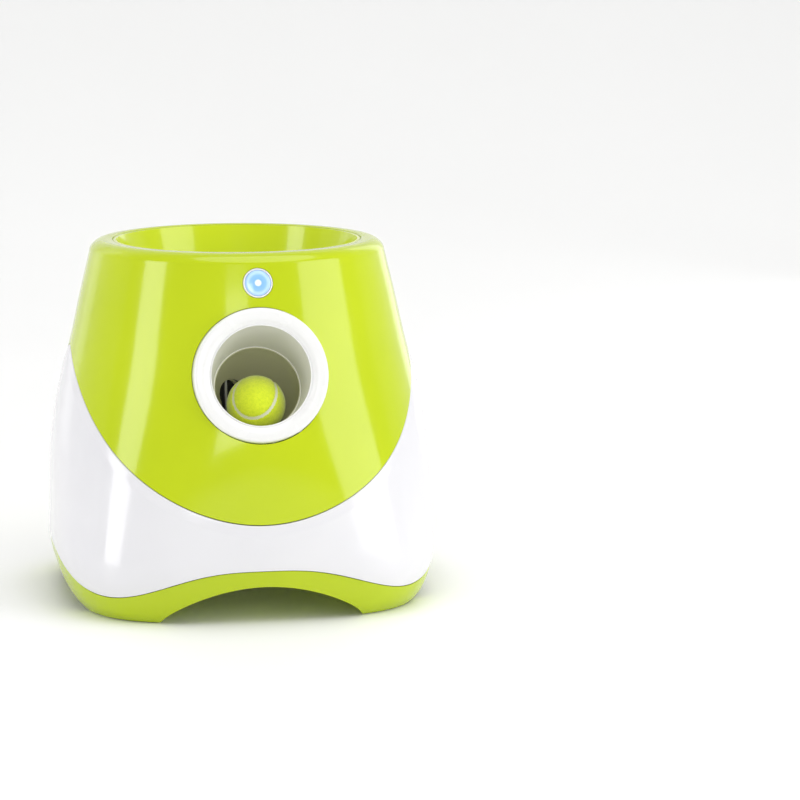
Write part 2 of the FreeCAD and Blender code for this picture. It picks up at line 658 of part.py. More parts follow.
def battery_box():
    half_x, half_y = battery_box_half()
    wall = size("box_wall")
    y = size("box_y")
    floor = size("floor_level")
    height = 2 * size("cell_radius") + 3.0
    outer = Part.makeBox(2 * half_x + 2 * wall, 2 * half_y + 2 * wall, height + wall,
                         Vector(-half_x - wall, y - half_y - wall, floor))
    outer = outer.cut(Part.makeBox(2 * half_x, 2 * half_y, height + 1, Vector(-half_x, y - half_y, floor - 1)))
    return outer


def battery_cells():
    cells = []
    floor = size("floor_level")
    for row_side in (-1, 1):
        y = size("box_y") + row_side * (size("cell_radius") + size("cell_gap") / 2)
        for place in range(3):
            start = (place - 1.5) * (size("cell_length") + 0.4)
            can = cylinder(size("cell_radius"), size("cell_length") - 1.5, Vector(start, y, floor + 14.0), X_AXIS)
            tip = cylinder(3.0, 1.5, Vector(start + size("cell_length") - 1.5, y, floor + 14.0), X_AXIS)
            cells.append(can.fuse(tip))
    return Part.makeCompound(cells)


def battery_door():
    half_x, half_y = battery_box_half()
    gap = size("door_gap")
    top = size("floor_level")
    thick = 2.0
    y = size("box_y")
    door = Part.makeBox(2 * (half_x - gap), 2 * (half_y - gap), thick, Vector(-half_x + gap, y - half_y + gap, top - thick))
    ribs = []
    for step in range(5):
        x = (step - 2) * 6.0
        ribs.append(Part.makeBox(2.0, 30.0, 1.0, Vector(x - 1, y - 15, top - thick - 0.8)))
    return door.fuse(ribs)


def battery_contacts():
    half_x = battery_box_half()[0]
    plates = []
    for side in (-1, 1):
        for row_side in (-1, 1):
            y = size("box_y") + row_side * (size("cell_radius") + size("cell_gap") / 2)
            x = half_x - 0.6 if side > 0 else -half_x
            plates.append(Part.makeBox(0.6, 16, 20, Vector(x, y - 8, size("floor_level") + 3)))
    return Part.makeCompound(plates)


def main_board():
    x = -size("frame_half") - size("plate_wall") - size("board_stand") - size("board_wall")
    sizes = {"Length": "Sizes.board_wall", "Width": "Sizes.board_length", "Height": "Sizes.board_height"}
    return bound("Part::Box", "main_board", Vector(x, 0, size("board_level")), sizes)


def board_spacers():
    posts = []
    stand = size("board_stand")
    x = -size("frame_half") - size("plate_wall") - stand
    edge = size("board_edge")
    low = size("board_level") + edge
    for y in (edge, size("board_length") - edge):
        for z in (low, low + 48):
            posts.append(cylinder(2.5, stand, Vector(x, y, z), X_AXIS))
    return Part.makeCompound(posts)


def dc_jack():
    y = 152.0
    barrel = cylinder(size("jack_radius"), 16.0, Vector(0, y - 12, size("jack_level")), Vector(0, 1, 0))
    barrel = barrel.cut(cylinder(3.0, 12.0, Vector(0, y - 7, size("jack_level")), Vector(0, 1, 0)))
    pin = cylinder(1.0, 9.0, Vector(0, y - 8, size("jack_level")), Vector(0, 1, 0))
    return barrel.fuse(pin)


def rubber_feet():
    feet = []
    for x, y in foot_places():
        feet.append(cylinder(size("foot_radius") - 0.1, size("foot_depth"), Vector(x, y, 0), Vector(0, 0, 1)))
    return Part.makeCompound(feet)


def base_screws():
    screws = []
    low = size("floor_level") - size("floor_wall")
    for x, y in boss_places():
        head = cylinder(size("screw_head"), 1.6, Vector(x, y, low - 1.6), Vector(0, 0, 1))
        stem = cylinder(size("screw_radius"), 16.0, Vector(x, y, low), Vector(0, 0, 1))
        screws.append(head.fuse(stem))
    return Part.makeCompound(screws)


def tennis_ball():
    return bound("Part::Sphere", "tennis_ball", BALL, {"Radius": "Sizes.ball_diameter / 2"})


PARTS = [
    ("upper_shell", upper_shell), ("lower_shell", lower_shell), ("base_tray", base_tray),
    ("hopper_bowl", hopper_bowl), ("muzzle_ring", muzzle_ring), ("barrel_cup", barrel_cup),
    ("sensor_window", sensor_window), ("feed_chute", feed_chute), ("striker_guide", striker_guide),
    ("striker_rod", striker_rod), ("striker_pad", striker_pad), ("striker_spring", striker_spring),
    ("sector_gear", sector_gear), ("motor_pinion", motor_pinion), ("gear_motor", gear_motor),
    ("side_plate_left", lambda: side_plate(-1)), ("side_plate_right", lambda: side_plate(1)),
    ("support_roller", support_roller), ("plate_spacers", plate_spacers),
    ("power_button", power_button), ("button_bezel", button_bezel), ("button_board", button_board),
    ("button_switch", button_switch), ("battery_box", battery_box), ("battery_cells", battery_cells),
    ("battery_door", battery_door), ("battery_contacts", battery_contacts),
    ("board_spacers", board_spacers), ("dc_jack", dc_jack), ("rubber_feet", rubber_feet),
    ("base_screws", base_screws),
]
PRIMITIVES = [sector_shaft, roller_shaft, main_board, tennis_ball]

items = [part(label, make()) for label, make in PARTS]
items += [make() for make in PRIMITIVES]
doc.recompute()
for item in doc.Objects:
    if "Invalid" in item.State or "Error" in item.State:
        raise RuntimeError("failed object: " + item.Label)
for item in items:
    if item.Shape.isNull() or not item.Shape.isValid():
        raise RuntimeError("bad shape: " + item.Label)

os.makedirs("parts", exist_ok=True)
for item in items:
    item.Shape.exportStep("parts/%s.step" % item.Label)
print("built", len(items), "parts")
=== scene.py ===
import math
import random

import bmesh
import bpy
from mathutils import Matrix, Vector
from mathutils import noise as field
from mathutils.kdtree import KDTree


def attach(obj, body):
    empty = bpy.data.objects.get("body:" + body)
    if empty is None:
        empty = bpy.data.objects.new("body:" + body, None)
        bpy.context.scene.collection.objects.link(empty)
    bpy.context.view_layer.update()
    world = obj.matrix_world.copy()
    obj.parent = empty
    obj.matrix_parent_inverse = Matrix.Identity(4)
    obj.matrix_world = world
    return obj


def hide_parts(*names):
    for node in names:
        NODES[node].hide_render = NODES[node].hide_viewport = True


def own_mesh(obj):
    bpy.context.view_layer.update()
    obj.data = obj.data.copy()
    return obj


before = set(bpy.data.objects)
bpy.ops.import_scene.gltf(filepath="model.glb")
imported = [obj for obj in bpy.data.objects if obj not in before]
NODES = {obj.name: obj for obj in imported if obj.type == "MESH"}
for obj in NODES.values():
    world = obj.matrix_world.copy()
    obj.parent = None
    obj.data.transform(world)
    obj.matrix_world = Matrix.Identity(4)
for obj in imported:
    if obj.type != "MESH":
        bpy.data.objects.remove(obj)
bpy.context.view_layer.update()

# Sizes and places of the object are in millimetres; MM turns them into metres.
MM = 0.001

# Housing sections: level, half width and rounded-square exponent.
SECTIONS = [
    (0.0, 139.5, 3.4), (22.0, 152.5, 3.2), (63.0, 157.4, 2.8), (115.0, 156.4, 2.35),
    (167.0, 149.7, 2.08), (219.0, 137.4, 2.0), (261.0, 127.1, 2.0), (295.4, 118.7, 2.0),
]
HEIGHT = 292.4
WALL = 2.4
RIM_ROUND = 13.0
RIM_LEAN = math.radians(18.8)
CROWN_HALF = 122.0
RIM_MIDDLE_R = CROWN_HALF - RIM_ROUND * math.cos(RIM_LEAN)
RIM_MIDDLE_Z = HEIGHT - RIM_ROUND
OPENING = 102.5
OPENING_EDGE = 1.0
OPENING_CORNER = 0.3
RIM_INSIDE_DROP = 4.0

# The two parting lines: a wave between green and white, and the band over the four legs.
WAVE_LOW = 80.8
WAVE_RISE = 126.0
WAVE_SOFT = 0.1
BAND_LEVEL = 43.7
BAND_DROP = 23.2
BAND_SHARP = 1.7
LEGS = 4
SEAM = 0.5
PARTING = 0.1
BEVEL_HIGH = 9.0
BEVEL_DEEP = 0.9
BEVEL_LIP = 0.4
BEVEL_CLEAR = 0.3

# A shell's lower edge: its height, and the height and depth of the point on its round.
EDGE = 0.45
EDGE_RISE = 0.12
EDGE_STEP = 0.15

# The green skin lies a little deeper at the parting line and comes out to the full form above.
GREEN_DEEP = 0.85
GREEN_FADE_FROM = 205.0
GREEN_FADE_OVER = 50.0

# The two corners at the white shell's top: drop below the edge, and depth behind the bevel.
WHITE_TOP_CORNERS = ((0.1, 0.2), (0.0, 0.5))

MOUTH = Vector((0.0, -143.0, 198.9))
FACE_LEAN = math.radians(9.5)
BARREL_LEAN = math.radians(28.0)
BEZEL_R = 53.8
BEZEL_GAP = 0.45
BEZEL_DEPTH = 19.0
BEZEL_ROUND = 3.4
BEZEL_WALL = 1.6
MOUTH_R = 39.0
TUNNEL_STEP = 0.6
TUNNEL_BACK = 3.2
CUP_R = 35.0
CUP_BACK = 39.0
CUP_LIP = 9.0
CUP_WALL = 2.2
CUP_SEAT = 0.05
BALL_R = 24.0
BALL_GAP = 0.3

BUTTON = Vector((0.0, -124.0, 270.0))
BUTTON_LEAN = math.radians(14.0)
BUTTON_R = 10.3
BUTTON_RING = 11.8
BUTTON_GAP = 0.3
BUTTON_DEPTH = 8.0
RING_DEPTH = 9.5

JACK = Vector((0.0, 150.0, 66.0))
JACK_HOLE_R = 5.7
BACKWARDS = Vector((0.0, 1.0, 0.0))


def leaning(angle):
    """The direction towards the front, leaning up by angle."""
    return Vector((0.0, -math.cos(angle), math.sin(angle)))


FACE = leaning(FACE_LEAN)
OUT = leaning(BARREL_LEAN)
BUTTON_OUT = leaning(BUTTON_LEAN)
WINDOW = Vector((19.0, 28.0, 3.0)).normalized()
WINDOW_R = 8.1
CUP = MOUTH - OUT * CUP_BACK
BALL = CUP - Vector((0.0, 0.0, CUP_R - BALL_R - BALL_GAP))


def natural_spline(xs, ys):
    """A function that reads the natural cubic spline through the given points."""
    count = len(xs)
    bends = [0.0] * count
    work = [0.0] * count
    for i in range(1, count - 1):
        share = (xs[i] - xs[i - 1]) / (xs[i + 1] - xs[i - 1])
        pivot = share * bends[i - 1] + 2.0
        bends[i] = (share - 1.0) / pivot
        jump = (ys[i + 1] - ys[i]) / (xs[i + 1] - xs[i]) - (ys[i] - ys[i - 1]) / (xs[i] - xs[i - 1])
        work[i] = (6.0 * jump / (xs[i + 1] - xs[i - 1]) - share * work[i - 1]) / pivot
    for i in range(count - 2, -1, -1):
        bends[i] = bends[i] * bends[i + 1] + work[i]

    def value(x):
        k = 0
        while k < count - 2 and x > xs[k + 1]:
            k += 1
        step = xs[k + 1] - xs[k]
        a = (xs[k + 1] - x) / step
        b = (x - xs[k]) / step
        bend = ((a ** 3 - a) * bends[k] + (b ** 3 - b) * bends[k + 1]) * step * step / 6.0
        return a * ys[k] + b * ys[k + 1] + bend

    return value


half_at = natural_spline([section[0] for section in SECTIONS], [section[1] for section in SECTIONS])
exponent_at = natural_spline([section[0] for section in SECTIONS], [section[2] for section in SECTIONS])


def crown_radius(level, inset):
    """The most that the rounded rim and the cone under it leave of the radius at a level."""
    radius = RIM_ROUND - inset
    start_z = RIM_MIDDLE_Z + radius * math.sin(RIM_LEAN)
    if level >= start_z:
        return RIM_MIDDLE_R + math.sqrt(max(radius * radius - (level - RIM_MIDDLE_Z) ** 2, 0.0))
    return RIM_MIDDLE_R + radius * math.cos(RIM_LEAN) + (start_z - level) * math.tan(RIM_LEAN)


def skin(turn, level, inset=0.0):
    """A point on the housing, turn measured from the front, drawn in by inset."""
    s = math.sin(turn)
    c = math.cos(turn)
    n = max(exponent_at(level), 2.0)
    reach = (half_at(level) - inset) / (abs(s) ** n + abs(c) ** n) ** (1.0 / n)
    reach = min(reach, crown_radius(level, inset))
    return Vector((reach * s, -reach * c, level))


NORMAL_TURN = 0.01
NORMAL_RISE = 0.5


def skin_normal(turn, level, inset=0.0):
    """The outward normal of the housing, from points a little to each side."""
    across = skin(turn + NORMAL_TURN, level, inset) - skin(turn - NORMAL_TURN, level, inset)
    up = skin(turn, level + NORMAL_RISE, inset) - skin(turn, level - NORMAL_RISE, inset)
    return across.cross(up).normalized()


def wave(turn):
    """Level of the parting line between the white shell and the green one."""
    c = (math.hypot(math.cos(turn), WAVE_SOFT) - WAVE_SOFT) / (math.hypot(1, WAVE_SOFT) - WAVE_SOFT)
    return WAVE_LOW + WAVE_RISE * ((1 - c) + math.sin(turn) ** 2) / 2


def band(turn):
    """Level of the parting line between the white shell and the green base."""
    return BAND_LEVEL - BAND_DROP * ((1 - math.cos(LEGS * turn)) / 2) ** BAND_SHARP


def smooth(x):
    """Eases from 0 to 1 as x goes from 0 to 1."""
    x = min(max(x, 0.0), 1.0)
    return x * x * (3 - 2 * x)


# Materials

COAT_ROUGHNESS = 0.05
PLASTIC_IOR = 1.42
RIPPLE_DISTANCE = 0.0002
SMUDGE_SCALE = 60.0
NOISE_LOW = 0.3
NOISE_HIGH = 0.7


def new_material(name):
    """A node material, with its tree and its shader."""
    material = bpy.data.materials.new(name)
    material.use_nodes = True
    tree = material.node_tree
    shader = tree.nodes["Principled BSDF"]
    return material, tree, shader


def noise(tree, scale, detail=3.0, rough=0.5):
    """A noise texture in the object's own coordinates."""
    where = tree.nodes.new("ShaderNodeTexCoord")
    texture = tree.nodes.new("ShaderNodeTexNoise")
    texture.inputs["Scale"].default_value = scale
    texture.inputs["Detail"].default_value = detail
    texture.inputs["Roughness"].default_value = rough
    tree.links.new(where.outputs["Object"], texture.inputs["Vector"])
    return texture.outputs["Fac"]


def ramp(tree, source, stops):
    """A colour ramp over source, from (place, colour) pairs."""
    node = tree.nodes.new("ShaderNodeValToRGB")
    for index, (place, colour) in enumerate(stops):
        if index >= 2:
            node.color_ramp.elements.new(place)
        stop = node.color_ramp.elements[index]
        stop.position = place
        stop.color = (*colour, 1.0)
    tree.links.new(source, node.inputs["Fac"])
    return node.outputs["Color"]


def spread(tree, source, low, high):
    """Stretches a noise to the range from low to high."""
    node = tree.nodes.new("ShaderNodeMapRange")
    node.inputs["From Min"].default_value = NOISE_LOW
    node.inputs["From Max"].default_value = NOISE_HIGH
    node.inputs["To Min"].default_value = low
    node.inputs["To Max"].default_value = high
    tree.links.new(source, node.inputs["Value"])
    return node.outputs["Result"]


def bump(tree, shader, source, strength, distance=RIPPLE_DISTANCE):
    """Lets source ripple the surface."""
    node = tree.nodes.new("ShaderNodeBump")
    node.inputs["Strength"].default_value = strength
    node.inputs["Distance"].default_value = distance
    tree.links.new(source, node.inputs["Height"])
    tree.links.new(node.outputs["Normal"], shader.inputs["Normal"])


def math_node(tree, operation, source):
    """A math node that takes source first; its second value is still to be set."""
    node = tree.nodes.new("ShaderNodeMath")
    node.operation = operation
    tree.links.new(source, node.inputs[0])
    return node


def plastic(name, dark, light, rough, coat, grain=700.0, strength=0.05, mottle=9.0):
    """Moulded plastic: faint colour drift, uneven gloss and a fine surface ripple."""
    material, tree, shader = new_material(name)
    drift = noise(tree, mottle, 2.0)
    smudge = noise(tree, SMUDGE_SCALE)
    tree.links.new(ramp(tree, drift, [(0.35, dark), (0.65, light)]), shader.inputs["Base Color"])
    tree.links.new(spread(tree, smudge, rough * 0.85, rough * 1.2), shader.inputs["Roughness"])
    shader.inputs["Coat Weight"].default_value = coat
    shader.inputs["Coat Roughness"].default_value = COAT_ROUGHNESS
    shader.inputs["IOR"].default_value = PLASTIC_IOR
    bump(tree, shader, noise(tree, grain, 2.0), strength)
    return material


def metal(name, dark, light, rough, grain=260.0):
    """Bare metal: cloudy colour, uneven gloss and a fine grain."""
    material, tree, shader = new_material(name)
    cloud = noise(tree, 40.0)
    tree.links.new(ramp(tree, cloud, [(NOISE_LOW, dark), (NOISE_HIGH, light)]), shader.inputs["Base Color"])
    tree.links.new(spread(tree, noise(tree, grain), rough * 0.7, rough * 1.3), shader.inputs["Roughness"])
    shader.inputs["Metallic"].default_value = 1.0
    bump(tree, shader, noise(tree, grain * 3), 0.08)
    return material


def felt_material():
    """Felt: fibres and clumps in two greens, with a sheen and no gloss."""
    material, tree, shader = new_material("ball_felt")
    fibre = noise(tree, 900.0, 4.0, 0.7)
    clump = noise(tree, 420.0, 3.0, 0.7)
    mixed = math_node(tree, "ADD", fibre)
    tree.links.new(clump, mixed.inputs[1])
    halved = math_node(tree, "MULTIPLY", mixed.outputs[0])
    halved.inputs[1].default_value = 0.5
    colour = ramp(tree, halved.outputs[0], [(0.30, (0.56, 0.72, 0.012)), (0.66, (0.82, 0.93, 0.035))])
    tree.links.new(colour, shader.inputs["Base Color"])
    shader.inputs["Roughness"].default_value = 0.95
    shader.inputs["Sheen Weight"].default_value = 0.6
    shader.inputs["Sheen Roughness"].default_value = 0.5
    shader.inputs["Specular IOR Level"].default_value = 0.15
    bump(tree, shader, halved.outputs[0], 0.6, 0.0006)
    return material


def lens_material():
    """Lit lens: a bright spot in the middle, a blue field, a paler glow towards the edge."""
    material, tree, shader = new_material("lit_lens")
    where = tree.nodes.new("ShaderNodeTexCoord")
    distance = tree.nodes.new("ShaderNodeVectorMath")
    distance.operation = "DISTANCE"
    distance.inputs[1].default_value = BUTTON * MM
    tree.links.new(where.outputs["Object"], distance.inputs[0])
    scaled = math_node(tree, "DIVIDE", distance.outputs["Value"])
    scaled.inputs[1].default_value = BUTTON_R * MM
    stops = [(0.0, (1.0, 1.0, 1.0)), (0.22, (0.93, 0.97, 1.0)), (0.34, (0.20, 0.42, 0.80)),
             (0.62, (0.24, 0.47, 0.82)), (0.80, (0.44, 0.64, 0.88)), (0.97, (0.30, 0.48, 0.74))]
    colour = ramp(tree, scaled.outputs[0], stops)
    tree.links.new(colour, shader.inputs["Base Color"])
    tree.links.new(colour, shader.inputs["Emission Color"])
    shader.inputs["Emission Strength"].default_value = 0.3
    shader.inputs["Roughness"].default_value = 0.12
    shader.inputs["Coat Weight"].default_value = 0.8
    shader.inputs["Coat Roughness"].default_value = 0.03
    bump(tree, shader, noise(tree, 500.0), 0.03)
    return material


GREEN = plastic("green_gloss", (0.495, 0.610, 0.002), (0.525, 0.640, 0.003), 0.14, 0.3)
# Painted light: the bowl is the shell's green plastic, given a brighter copy so its inside looks lit.
BOWL_GREEN_PAINTED_LIGHT = plastic("bowl_green_painted_light", (0.64, 0.75, 0.004), (0.67, 0.78, 0.006), 0.16, 0.4)
GREEN_BAND = plastic("green_band", (0.450, 0.570, 0.002), (0.480, 0.600, 0.003), 0.22, 0.2)
# White plastic, made darker and lavender all over as painted shade of the shell's shaded edges.
WHITE_PAINTED_SHADE = plastic("white_gloss_painted_shade", (0.745, 0.740, 0.770), (0.775, 0.770, 0.795), 0.16, 0.4)
BEZEL_WHITE = plastic("bezel_white", (0.83, 0.83, 0.82), (0.85, 0.85, 0.84), 0.25, 0.3)
# Painted shade: the cup is white plastic, painted a yellowish grey for the shade inside the barrel.
CUP_PAINTED_SHADE = plastic("cup_white_painted_shade", (0.56, 0.555, 0.37), (0.62, 0.615, 0.42), 0.42, 0.0)
# Painted shade: the tunnel is white plastic, painted grey for the shade inside the barrel.
TUNNEL_PAINTED_SHADE = plastic("tunnel_white_painted_shade", (0.58, 0.58, 0.50), (0.64, 0.64, 0.56), 0.38, 0.0)
INNER_WHITE = plastic("inner_white", (0.70, 0.70, 0.70), (0.76, 0.76, 0.75), 0.45, 0.0)
# Black plastic for the real black parts, and painted shade in the recess behind the cup's port.
BLACK_PLASTIC_AND_PAINTED_SHADE = plastic("black_plastic", (0.012, 0.012, 0.013), (0.02, 0.02, 0.021), 0.35, 0.1)
NYLON = plastic("gear_nylon", (0.66, 0.63, 0.52), (0.74, 0.71, 0.60), 0.4, 0.0)
BOARD = plastic("circuit_board", (0.01, 0.10, 0.03), (0.02, 0.15, 0.05), 0.35, 0.2, 300.0, 0.1, 60.0)
RUBBER = plastic("rubber", (0.02, 0.02, 0.02), (0.035, 0.035, 0.035), 0.75, 0.0, 900.0, 0.2)
STEEL = metal("steel", (0.42, 0.42, 0.44), (0.60, 0.60, 0.62), 0.28)
CELL = plastic("cell_jacket", (0.02, 0.03, 0.06), (0.04, 0.05, 0.09), 0.3, 0.3)
FELT = felt_material()
BALL_SEAM = plastic("ball_seam", (0.74, 0.78, 0.52), (0.84, 0.86, 0.66), 0.7, 0.0, 1200.0, 0.3)
LENS = lens_material()


# Mesh tools

# Edges that turn by more than these angles, in degrees, are shaded sharp.
SHARP = 40.0
SHELL_SHARP = 35.0
BUTTON_SHARP = 50.0
BEZEL_SHARP = 60.0
NEVER_SHARP = 180.0


def add_object(name, data):
    """A new object that holds data, linked to the scene."""
    item = bpy.data.objects.new(name, data)
    bpy.context.scene.collection.objects.link(item)
    return item


def mesh_from(name, points, faces):
    """A mesh in metres from points in millimetres."""
    mesh = bpy.data.meshes.new(name)
    mesh.from_pydata([tuple(point * MM) for point in points], [], faces)
    return mesh


def mesh_object(name, points, faces, material, body, sharp=SHARP):
    """A shaded piece of one material, riding on body."""
    mesh = mesh_from(name, points, faces)
    mesh.validate()
    item = add_object(name, mesh)
    mesh.materials.append(material)
    shade(item, sharp)
    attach(item, body)
    return item


def shade(item, sharp=SHARP):
    """Turns the faces outward and shades them smooth, apart from edges sharper than sharp."""
    mesh = item.data
    work = bmesh.new()
    work.from_mesh(mesh)
    bmesh.ops.recalc_face_normals(work, faces=work.faces)
    limit = math.radians(sharp)
    for face in work.faces:
        face.smooth = True
    for edge in work.edges:
        edge.smooth = len(edge.link_faces) == 2 and edge.calc_face_angle(0.0) < limit
    work.to_mesh(mesh)
    work.free()


def ring_faces(rings, columns, closed_section):
    """Faces between rings of points; a closed section joins the last ring to the first."""
    faces = []
    last = rings if closed_section else rings - 1
    for row in range(last):
        above = (row + 1) % rings
        for column in range(columns):
            beside = (column + 1) % columns
            faces.append((row * columns + column, row * columns + beside,
                          above * columns + beside, above * columns + column))
    return faces


def lathe(profile, origin, axis, columns=128, closed=True):
    """Points and faces of a form turned about axis, from (radius, distance) pairs."""
    side = Vector((1, 0, 0))
    other = axis.cross(side).normalized()
    points = []
    for radius, distance in profile:
        for column in range(columns):
            turn = 2 * math.pi * column / columns
            spoke = side * math.cos(turn) + other * math.sin(turn)
            points.append(origin + axis * distance + spoke * radius)
    return points, ring_faces(len(profile), columns, closed)


def arc_profile(middle, radius, start, end, steps):
    """Points of an arc in a profile, angles in degrees from the outward radius."""
    result = []
    for step in range(steps + 1):
        angle = math.radians(start + (end - start) * step / steps)
        result.append((middle[0] + radius * math.cos(angle), middle[1] + radius * math.sin(angle)))
    return result


def bore(item, radius, origin, axis, length, columns=160):
    """Cuts a round hole through the mesh and keeps the result in the mesh itself."""
    points, faces = lathe([(radius, -length / 2), (radius, length / 2)], origin, axis, columns, False)
    faces.append(tuple(range(columns)))
    faces.append(tuple(reversed(range(columns, 2 * columns))))
    cutter = add_object("cutter", mesh_from("cutter", points, faces))
    shade(cutter)
    cut = item.modifiers.new("bore", "BOOLEAN")
    cut.operation = "DIFFERENCE"
    cut.solver = "EXACT"
    cut.object = cutter
    bpy.context.view_layer.update()
    result = bpy.data.meshes.new_from_object(item.evaluated_get(bpy.context.evaluated_depsgraph_get()))
    item.modifiers.clear()
    old = item.data
    item.data = result
    bpy.data.objects.remove(cutter)
    bpy.data.meshes.remove(old)


# Housing shells

COLUMNS = 240
WHITE_ROWS = 44
BEVEL_ROWS = 6
GREEN_ROWS = 56
RIM_ROWS = 12

# A corner takes the true normal where its face looks sideways, is far enough out, lies on the skin
# and already faces nearly the same way.
RIM_NORMAL = 0.6
OUTER_REACH = 110.0
SKIN_NEAR = 0.25
SAME_WAY = 0.8

# Lengths of the cutters that make the holes, long enough to pass the wall on both sides.
JACK_CUT = 40.0
BEZEL_CUT = 60.0
BUTTON_CUT = 20.0
PORT_CUT = 24.0
STRIKER_CUT = 40.0
WINDOW_CUT = 12.0


def skin_normals(item, inset_of):
    """Gives the corners that lie on the outer skin the normal of the true form."""
    mesh = item.data
    normals = []
    for polygon in mesh.polygons:
        for corner in polygon.loop_indices:
            at = mesh.vertices[mesh.loops[corner].vertex_index].co / MM
            turn = math.atan2(at.x, -at.y)
            given = mesh.corner_normals[corner].vector.copy()
            if polygon.normal.z < RIM_NORMAL and Vector((at.x, at.y)).length > OUTER_REACH:
                inset = inset_of(turn, at.z)
                if inset is not None:
                    on = skin(turn, at.z, inset)
                    true = skin_normal(turn, at.z, inset)
                    if (on - at).length < SKIN_NEAR and true.dot(polygon.normal) > SAME_WAY:
                        given = true
            normals.append(given)
    mesh.normals_split_custom_set(normals)


def section_object(name, section, material):
    """A ring-shaped shell; section gives, for a turn, its closed profile as points."""
    profiles = [section(2 * math.pi * column / COLUMNS) for column in range(COLUMNS)]
    rows = len(profiles[0])
    points = [profile[row] for row in range(rows) for profile in profiles]
    return mesh_object(name, points, ring_faces(rows, COLUMNS, True), material, "housing", SHELL_SHARP)


def lower_edge(turn, low, inset):
    """The first points of a section: the inner wall, then the rounded corner of the lower edge."""
    corner = skin(turn, low + EDGE_RISE, inset + EDGE_STEP)
    return [skin(turn, low, WALL), skin(turn, low, inset + EDGE), corner]


def white_section(turn):
    """The white shell: up the skin, in over the bevel at the parting line, down the inner wall."""
    low = band(turn) + SEAM
    top = wave(turn) - PARTING
    profile = lower_edge(turn, low, 0.0)
    for row in range(WHITE_ROWS + 1):
        profile.append(skin(turn, low + EDGE + (top - BEVEL_HIGH - low - EDGE) * row / WHITE_ROWS))
    for row in range(1, BEVEL_ROWS + 1):
        share = row / BEVEL_ROWS
        profile.append(skin(turn, top - BEVEL_HIGH + (BEVEL_HIGH - BEVEL_LIP) * share, BEVEL_DEEP * share))
    for drop, behind in WHITE_TOP_CORNERS:
        profile.append(skin(turn, top - drop, BEVEL_DEEP + behind))
    profile.append(skin(turn, top, WALL))
    profile.append(skin(turn, (top + low) / 2, WALL))
    return profile


def white_inset(turn, level):
    """The white skin's depth, or None on the bevel, which keeps its own normals."""
    start = wave(turn) - PARTING - BEVEL_HIGH
    if start - BEVEL_CLEAR < level:
        return None
    return 0.0


def green_inset(level):
    """The green skin's depth at a level."""
    return GREEN_DEEP * (1 - smooth((level - GREEN_FADE_FROM) / GREEN_FADE_OVER))


def rim_point(turn, radius, level):
    """A point of the round rim, where the section is a circle."""
    return Vector((radius * math.sin(turn), -radius * math.cos(turn), level))


def green_section(turn):
    """The green shell: up the skin, over the rim, into the opening, down the inner wall."""
    low = wave(turn) + SEAM + PARTING
    top = RIM_MIDDLE_Z + RIM_ROUND * math.sin(RIM_LEAN)
    profile = lower_edge(turn, low, green_inset(low))
    for row in range(GREEN_ROWS + 1):
        level = low + EDGE + (top - low - EDGE) * row / GREEN_ROWS
        profile.append(skin(turn, level, green_inset(level)))
    for step in range(1, RIM_ROWS + 1):
        angle = RIM_LEAN + (math.pi / 2 - RIM_LEAN) * step / RIM_ROWS
        radius = RIM_MIDDLE_R + RIM_ROUND * math.cos(angle)
        profile.append(rim_point(turn, radius, RIM_MIDDLE_Z + RIM_ROUND * math.sin(angle)))
    profile.append(rim_point(turn, OPENING + OPENING_EDGE, HEIGHT))
    profile.append(rim_point(turn, OPENING + OPENING_CORNER, HEIGHT - OPENING_CORNER))
    profile.append(rim_point(turn, OPENING, HEIGHT - OPENING_EDGE))
    profile.append(rim_point(turn, OPENING, HEIGHT - WALL))
    profile.append(rim_point(turn, RIM_MIDDLE_R, HEIGHT - WALL))
    profile.append(skin(turn, top - RIM_INSIDE_DROP, WALL))
    profile.append(skin(turn, (top + low) / 2, WALL))
    return profile


def white_shell():
    item = section_object("white_shell", white_section, WHITE_PAINTED_SHADE)
    bore(item, JACK_HOLE_R, JACK, BACKWARDS, JACK_CUT)
    shade(item, SHELL_SHARP)
    skin_normals(item, white_inset)
    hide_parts("lower_shell")


def green_shell():
    item = section_object("green_shell", green_section, GREEN)
    bore(item, BEZEL_R + BEZEL_GAP, MOUTH, FACE, BEZEL_CUT)
    bore(item, BUTTON_RING + BUTTON_GAP, BUTTON, BUTTON_OUT, BUTTON_CUT)
    shade(item, SHELL_SHARP)
    skin_normals(item, lambda turn, level: green_inset(level))
    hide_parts("upper_shell")


# Muzzle and cup

BEZEL_COLUMNS = 192
BEZEL_ARC = 80
BEZEL_ARC_STEPS = 8
TUNNEL_ROWS = 14
CUP_ROWS = 48
CUP_COLUMNS = 120
HOLE_COLUMNS = 96
WINDOW_COLUMNS = 72
RECESS_COLUMNS = 64
TRIM_COLUMNS = 160
TRIM_ARC = 330
TRIM_ARC_STEPS = 11

# The small hole left at the back of the cup's sphere, in radians.
CUP_POLE = 0.02

# The port at the left of the cup, and the black recess behind it, which is painted shade that makes the
# opening dark.
PORT_R = 12.0
PORT_TURN = math.radians(-33.0)
PORT_DROP = 6.6
PORT_DEPTH = 9.0
PORT_ARCH = 0.75
RECESS_R = PORT_R + 6.0
RECESS_POLE = 0.02
RECESS_LOWER = 5.0
RECESS_LAP = 1.0

STRIKER_HOLE_R = 12.4
STRIKER_HOLE_BACK = 30.0

# The pale edge between tunnel and cup: radius of its round, and its place against the cup's lip.
TRIM_R = 0.32
TRIM_IN = 0.25
TRIM_OUT = 0.1


